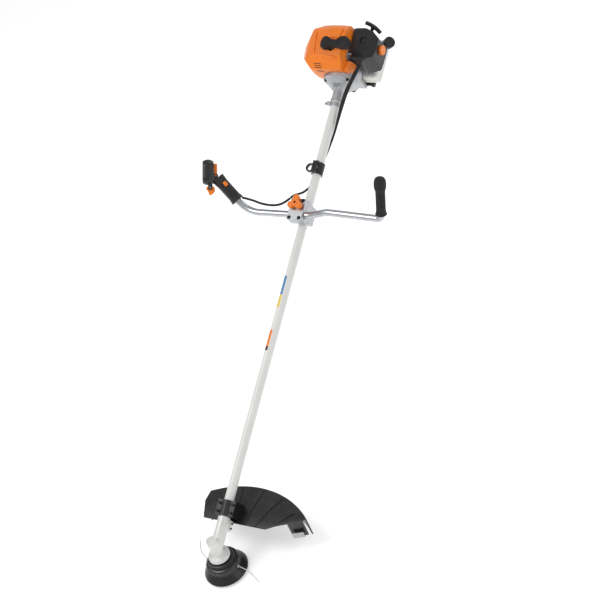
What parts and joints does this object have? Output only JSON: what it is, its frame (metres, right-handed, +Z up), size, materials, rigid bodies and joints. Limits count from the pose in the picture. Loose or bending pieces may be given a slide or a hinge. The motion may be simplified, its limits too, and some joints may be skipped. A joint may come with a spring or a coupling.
{
  "type": "string trimmer",
  "caption": "Petrol string trimmer with a long straight tube, bull-horn handlebar, angled cutting head, guard and rear engine.",
  "frame": {"origin": "centre of the harness eye on the drive tube", "axes": "+Z up along the cutting head axis in the carrying position, +Y from the head towards the engine in plan, +X to the left hand of the user"},
  "size_m": [0.652, 1.618, 0.879],
  "materials": {
    "tube": "white enamel, satin",
    "castings": "die cast, bead blasted",
    "steel": "machined",
    "handlebar_metal": "satin silver",
    "orange_plastic": "moulded, semi gloss",
    "black_plastic": "moulded, fine grain",
    "bushing_rubber": "moulded",
    "grip_rubber": "moulded, soft",
    "cable_jacket": "extruded sleeve",
    "tank_plastic": "translucent blow moulding",
    "filter_foam": "open foam",
    "nylon_line": "clear extruded line",
    "rope": "braided"
  },
  "bodies": {
    "trimmer": {"shaft_tube": "tube", "shaft_bushings": "bushing_rubber", "gearbox_housing": "castings", "gearbox_cap": "castings", "ball_bearings": "steel", "shield": "black_plastic", "shield_clamp": "black_plastic", "line_cutter": "steel", "case_screws": "steel", "clutch_housing": "castings", "collar_ring": "castings", "crankcase": "castings", "cylinder": "castings", "piston": "castings", "connecting_rod": "steel", "spark_plug": "steel", "plug_boot": "black_plastic", "ignition_coil": "steel", "muffler": "steel", "engine_shroud": "orange_plastic", "starter_housing": "black_plastic", "filter_cover": "black_plastic", "carburettor": "castings", "air_filter": "filter_foam", "fuel_tank": "tank_plastic", "tank_stand": "black_plastic", "harness_clamp": "black_plastic", "bar_bracket": "castings", "cable_rear": "cable_jacket"},
    "head": {"output_shaft": "steel", "output_gear": "steel", "head_housing": "black_plastic", "cutting_line_a": "nylon_line", "cutting_line_b": "nylon_line"},
    "bump_spool": {"spool": "black_plastic"},
    "drive": {"drive_shaft": "steel", "drive_pinion": "steel", "clutch_drum": "steel"},
    "crank": {"crankshaft": "steel", "flywheel": "steel", "clutch_hub": "castings"},
    "shoe_a": {"clutch_shoe_a": "steel"},
    "shoe_b": {"clutch_shoe_b": "steel"},
    "pulley": {"starter_pulley": "black_plastic"},
    "pull_grip": {"starter_grip": "black_plastic", "starter_rope": "rope"},
    "carrier": {"bar_carrier": "castings", "bar_cap": "castings"},
    "wing_knob": {"clamp_knob": "orange_plastic"},
    "bar": {"handlebar": "handlebar_metal", "hand_grip": "grip_rubber", "control_handle": "black_plastic", "cable_front": "cable_jacket"},
    "trigger": {"throttle_trigger": "orange_plastic"},
    "lockout": {"lockout_lever": "orange_plastic"},
    "switch": {"stop_switch": "orange_plastic"},
    "valve": {"throttle_valve": "steel"},
    "choke": {"choke_lever": "black_plastic"},
    "tank_cap": {"fuel_cap": "black_plastic"},
    "filter_knob": {"cover_knob": "orange_plastic"}
  },
  "joints": [
    {"name": "head_spin", "type": "hinge", "parent": "trimmer", "child": "head", "pos_m": [0.029, -1.07851, -0.50292], "axis": [0, 0, 1], "continuous": true},
    {"name": "bump", "type": "slide", "parent": "head", "child": "bump_spool", "axis": [0, 0, 1], "range_m": [0, 0.006], "stiffness_N_per_m": 1500},
    {"name": "drive_spin", "type": "hinge", "parent": "trimmer", "child": "drive", "pos_m": [0.029, -1.07851, -0.50292], "axis": [0, 0.9063, 0.4226], "continuous": true},
    {"name": "crank_spin", "type": "hinge", "parent": "trimmer", "child": "crank", "pos_m": [0.029, 0.32265, 0.15045], "axis": [0, 0.9063, 0.4226], "continuous": true},
    {"name": "shoe_a_slide", "type": "slide", "parent": "crank", "child": "shoe_a", "axis": [1, 0, 0], "range_m": [0, 0.0009], "stiffness_N_per_m": 4000},
    {"name": "shoe_b_slide", "type": "slide", "parent": "crank", "child": "shoe_b", "axis": [-1, 0, 0], "range_m": [0, 0.0009], "stiffness_N_per_m": 4000},
    {"name": "starter_pull", "type": "slide", "parent": "trimmer", "child": "pull_grip", "axis": [0.5997, 0.5044, 0.6212], "range_m": [0, 0.65], "stiffness_N_per_m": 15, "springref_m": -0.4, "deforming": ["starter_rope"]},
    {"name": "pulley_spin", "type": "hinge", "parent": "trimmer", "child": "pulley", "pos_m": [0.029, 0.3879, 0.18088], "axis": [0, 0.9063, 0.4226], "range_deg": [0, 1560]},
    {"name": "bar_swivel", "type": "hinge", "parent": "trimmer", "child": "carrier", "pos_m": [0.029, -0.13413, -0.06255], "axis": [0, -0.4226, 0.9063], "range_deg": [0, 90], "deforming": ["cable_rear", "cable_front"]},
    {"name": "bar_tilt", "type": "hinge", "parent": "carrier", "child": "bar", "pos_m": [0.029, -0.17762, -0.03317], "axis": [1, 0, 0], "range_deg": [-20, 20], "deforming": ["cable_front"]},
    {"name": "knob_turn", "type": "hinge", "parent": "trimmer", "child": "wing_knob", "pos_m": [0.029, -0.13413, -0.06255], "axis": [0, -0.4226, 0.9063], "range_deg": [0, 720]},
    {"name": "trigger_pull", "type": "hinge", "parent": "bar", "child": "trigger", "pos_m": [-0.25079, -0.17817, 0.05644], "axis": [0.5103, -0.581, 0.634], "range_deg": [0, 18], "stiffness_Nm_per_rad": 0.3},
    {"name": "lockout_press", "type": "hinge", "parent": "bar", "child": "lockout", "pos_m": [-0.24148, -0.1429, 0.07496], "axis": [0.5103, -0.581, 0.634], "range_deg": [0, 9], "stiffness_Nm_per_rad": 0.2},
    {"name": "switch_slide", "type": "slide", "parent": "bar", "child": "switch", "axis": [-0.6668, 0.3161, -0.6749], "range_m": [0, 0.002]},
    {"name": "valve_turn", "type": "hinge", "parent": "trimmer", "child": "valve", "pos_m": [0.088, 0.30611, 0.20012], "axis": [0, 0.9063, 0.4226], "range_deg": [0, 81]},
    {"name": "choke_turn", "type": "hinge", "parent": "trimmer", "child": "choke", "pos_m": [0.106, 0.33982, 0.22246], "axis": [0, -0.4226, 0.9063], "range_deg": [0, 75]},
    {"name": "cap_turn", "type": "hinge", "parent": "trimmer", "child": "tank_cap", "pos_m": [0.102, 0.44685, 0.12782], "axis": [0.7507, -0.2792, 0.5987], "range_deg": [0, 540]},
    {"name": "filter_knob_turn", "type": "hinge", "parent": "trimmer", "child": "filter_knob", "pos_m": [0.15, 0.34688, 0.18603], "axis": [1, 0, 0], "range_deg": [0, 1080]}
  ],
  "couplings": [
    {"joint": "drive_spin", "follows": "head_spin", "ratio": -1.4},
    {"joint": "pulley_spin", "follows": "starter_pull", "rad_per_m": 41.667},
    {"joint": "shoe_b_slide", "follows": "shoe_a_slide", "ratio": 1},
    {"joint": "valve_turn", "follows": "trigger_pull", "ratio": 4.5}
  ]
}
